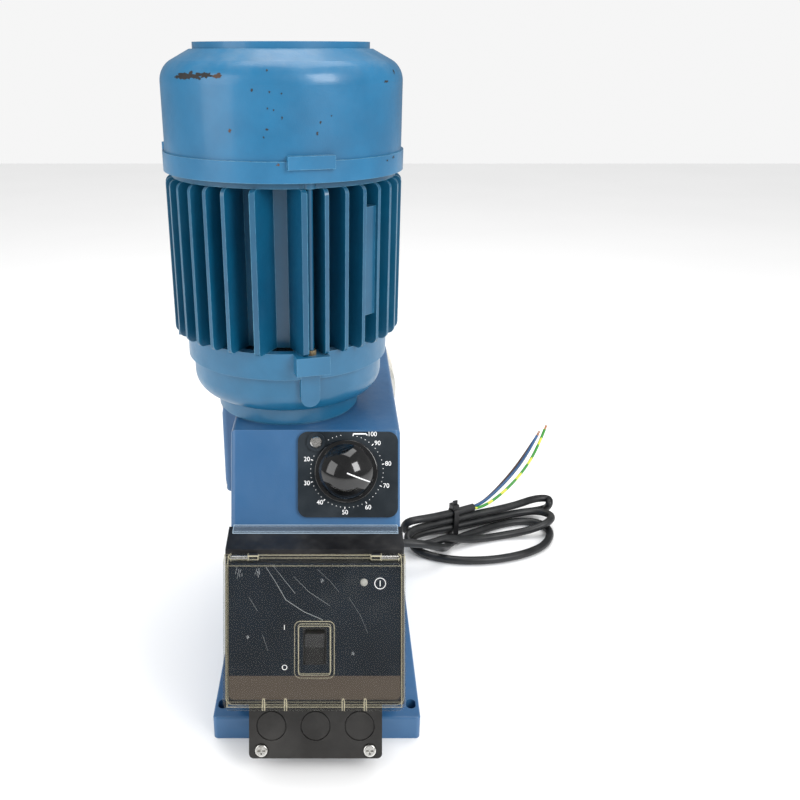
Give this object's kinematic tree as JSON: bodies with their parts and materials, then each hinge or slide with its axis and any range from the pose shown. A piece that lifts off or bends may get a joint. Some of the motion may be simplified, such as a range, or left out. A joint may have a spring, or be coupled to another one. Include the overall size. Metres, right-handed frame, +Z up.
{
  "type": "diaphragm metering pump",
  "caption": "Motor-driven diaphragm metering pump: finned motor on a worm gear housing, stroke dial, hinged clear cover, pump head at the back and a coiled mains lead.",
  "frame": {"origin": "centre of the base plate's underside", "axes": "+X to the right seen from the operating side, +Y towards the pump head, +Z up along the motor"},
  "size_m": [0.3214, 0.3689, 0.4229],
  "materials": {
    "motor_blue": "satin enamel",
    "housing_blue": "satin enamel",
    "steel": "machined",
    "black_plastic": "moulded",
    "grey_plastic": "moulded",
    "dial_print": "printed film",
    "clear": "clear moulded",
    "lamp": "clear lens",
    "board": "laminate",
    "bronze": "cast",
    "copper": "enamelled wire",
    "laminated": "stacked sheet",
    "rubber": "elastomer",
    "head_plastic": "moulded",
    "ceramic": "polished ball",
    "cable_black": "sheath",
    "core_blue": "insulation",
    "core_brown": "insulation",
    "core_earth": "insulation"
  },
  "bodies": {
    "housing": {"adapter_ring": "motor_blue", "base_bolts": "steel", "base_plate": "housing_blue", "cable_coil": "cable_black", "cable_gland": "black_plastic", "cable_tie": "black_plastic", "check_valves": "head_plastic", "circuit_board": "board", "clear_flange": "clear", "control_box": "black_plastic", "core_blue": "core_blue", "core_brown": "core_brown", "core_earth": "core_earth", "dial_plate": "dial_print", "diaphragm": "rubber", "dosing_head": "head_plastic", "drive_bearings": "steel", "fan_cowl": "motor_blue", "front_panel": "dial_print", "gear_cover": "housing_blue", "gear_cover_screws": "steel", "gear_housing": "housing_blue", "guide_bush": "bronze", "head_screws": "steel", "hinge_pins": "steel", "hose_tails": "head_plastic", "indicator_lamp": "lamp", "lower_end_shield": "motor_blue", "mains_cable": "cable_black", "motor_bearings": "steel", "return_spring": "steel", "stator_core": "laminated", "stator_housing": "motor_blue", "stator_windings": "copper", "strain_relief": "black_plastic", "support_flange": "head_plastic", "switch_body": "black_plastic", "terminal_box": "black_plastic", "terminal_lid": "black_plastic", "terminal_screws": "steel", "tie_rod_nuts": "steel", "tie_rods": "steel", "union_nuts": "head_plastic", "upper_end_shield": "motor_blue"},
    "rotor": {"motor_shaft": "steel", "rotor_core": "laminated", "worm": "steel", "cooling_fan": "black_plastic"},
    "wheel": {"wheel_shaft": "steel", "worm_wheel": "bronze", "eccentric_cam": "steel"},
    "rod": {"push_rod": "steel", "diaphragm_core": "steel"},
    "knob": {"stroke_knob": "black_plastic"},
    "spindle": {"stroke_spindle": "steel"},
    "lock": {"lock_screw": "steel"},
    "switch": {"rocker": "black_plastic"},
    "lid": {"clear_cover": "clear"},
    "suction_ball_body": {"suction_ball": "ceramic"},
    "discharge_ball_body": {"discharge_ball": "ceramic"}
  },
  "joints": [
    {"name": "rotor_spin", "type": "hinge", "parent": "housing", "child": "rotor", "pos_m": [-0.019, -0.0135, 0.3], "axis": [0, 0, 1], "continuous": true},
    {"name": "wheel_spin", "type": "hinge", "parent": "housing", "child": "wheel", "pos_m": [0, 0.0225, 0.162], "axis": [1, 0, 0], "continuous": true},
    {"name": "rod_slide", "type": "slide", "parent": "housing", "child": "rod", "axis": [0, 1, 0], "range_m": [-0.005, 0]},
    {"name": "knob_turn", "type": "hinge", "parent": "housing", "child": "knob", "pos_m": [0.0188, -0.07712, 0.17897], "axis": [0, -0.9272, 0.3746], "range_deg": [-252, 108]},
    {"name": "spindle_slide", "type": "slide", "parent": "housing", "child": "spindle", "axis": [0, -0.9272, 0.3746], "range_m": [-0.0035, 0.0015]},
    {"name": "lock_turn", "type": "hinge", "parent": "housing", "child": "lock", "pos_m": [0.0003, -0.07049, 0.19538], "axis": [0, -0.9272, 0.3746], "range_deg": [0, 360]},
    {"name": "switch_rock", "type": "hinge", "parent": "housing", "child": "switch", "pos_m": [0.0001, -0.1309, 0.09123], "axis": [-1, 0, 0], "range_deg": [0, 12]},
    {"name": "cover_hinge", "type": "hinge", "parent": "housing", "child": "lid", "pos_m": [0, -0.11386, 0.14035], "axis": [-1, 0, 0], "range_deg": [0, 110]},
    {"name": "suction_ball_lift", "type": "slide", "parent": "housing", "child": "suction_ball_body", "axis": [0, 0, 1], "range_m": [0, 0.002]},
    {"name": "discharge_ball_lift", "type": "slide", "parent": "housing", "child": "discharge_ball_body", "axis": [0, 0, 1], "range_m": [0, 0.002]}
  ],
  "couplings": [
    {"joint": "wheel_spin", "follows": "rotor_spin", "ratio": 0.033333},
    {"joint": "spindle_slide", "follows": "knob_turn", "m_per_rad": 0.00079577}
  ]
}
